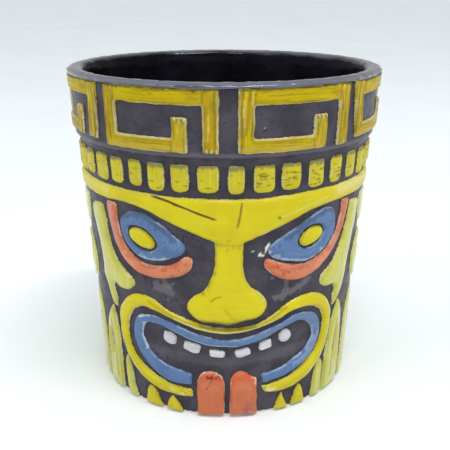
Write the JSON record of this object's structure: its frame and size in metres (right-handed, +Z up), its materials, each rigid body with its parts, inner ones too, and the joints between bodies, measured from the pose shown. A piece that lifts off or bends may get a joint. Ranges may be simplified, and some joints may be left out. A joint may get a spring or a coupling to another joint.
{
  "type": "tiki mug",
  "caption": "Squat tapered ceramic mug without a handle: a carved mask face in painted relief under a bead row and a fret collar, glazed black inside.",
  "frame": {"origin": "centre of the foot, on the surface the mug stands on", "axes": "+Z up along the mug's axis to the rim; the face looks along -Y; +X is to the right of someone who looks at the face"},
  "size_m": [0.106, 0.106, 0.1107],
  "materials": {
    "stained_clay": "dark purple-grey stain, satin",
    "black_glaze": "high-gloss black glaze",
    "yellow_enamel": "brushed yellow ceramic paint, satin, with darker streaks",
    "ochre_enamel": "brushed ochre-yellow ceramic paint, satin, olive streaks along the strokes",
    "pale_yellow_enamel": "thin greenish-yellow ceramic paint, satin, cream at the edges",
    "blue_enamel": "slate-blue ceramic paint, satin, pale edges",
    "coral_enamel": "coral ceramic paint, satin, pink towards the temples",
    "tongue_enamel": "terracotta-orange ceramic paint, satin, red at the top",
    "tooth_enamel": "off-white ceramic paint, satin, speckled"
  },
  "bodies": {
    "root": {"mug_body": "stained_clay", "glaze_liner": "black_glaze", "bead_string": "yellow_enamel", "brow_and_nose": "yellow_enamel", "brow_back": "yellow_enamel", "pupil_left": "yellow_enamel", "pupil_right": "yellow_enamel", "mouth_ring": "yellow_enamel", "spike_1": "yellow_enamel", "spike_2": "yellow_enamel", "spike_3": "yellow_enamel", "spike_4": "yellow_enamel", "fret_key_1": "ochre_enamel", "fret_key_2": "ochre_enamel", "fret_key_3": "ochre_enamel", "fret_key_4": "ochre_enamel", "fret_key_5": "ochre_enamel", "fret_key_6": "ochre_enamel", "fret_key_7": "ochre_enamel", "fret_key_8": "ochre_enamel", "cheek_left": "pale_yellow_enamel", "cheek_right": "pale_yellow_enamel", "leaf_left": "pale_yellow_enamel", "leaf_right": "pale_yellow_enamel", "reed_left": "pale_yellow_enamel", "reed_right": "pale_yellow_enamel", "temple_left": "pale_yellow_enamel", "ear_left": "pale_yellow_enamel", "ear_lobe_left": "pale_yellow_enamel", "short_lock_left_1": "pale_yellow_enamel", "short_lock_left_2": "pale_yellow_enamel", "temple_right": "pale_yellow_enamel", "ear_right": "pale_yellow_enamel", "ear_lobe_right": "pale_yellow_enamel", "short_lock_right_1": "pale_yellow_enamel", "short_lock_right_2": "pale_yellow_enamel", "back_lock_1": "pale_yellow_enamel", "back_lock_2": "pale_yellow_enamel", "back_lock_3": "pale_yellow_enamel", "back_lock_4": "pale_yellow_enamel", "back_lock_5": "pale_yellow_enamel", "back_lock_6": "pale_yellow_enamel", "back_reed_1": "pale_yellow_enamel", "back_reed_2": "pale_yellow_enamel", "back_reed_3": "pale_yellow_enamel", "back_reed_4": "pale_yellow_enamel", "back_reed_5": "pale_yellow_enamel", "eye_left": "blue_enamel", "eye_right": "blue_enamel", "lip": "blue_enamel", "lower_lid_left": "coral_enamel", "lower_lid_right": "coral_enamel", "tongue_left": "tongue_enamel", "tongue_right": "tongue_enamel", "tooth_1": "tooth_enamel", "tooth_2": "tooth_enamel", "tooth_3": "tooth_enamel", "tooth_4": "tooth_enamel", "tooth_5": "tooth_enamel", "tooth_6": "tooth_enamel"}
  },
  "joints": []
}
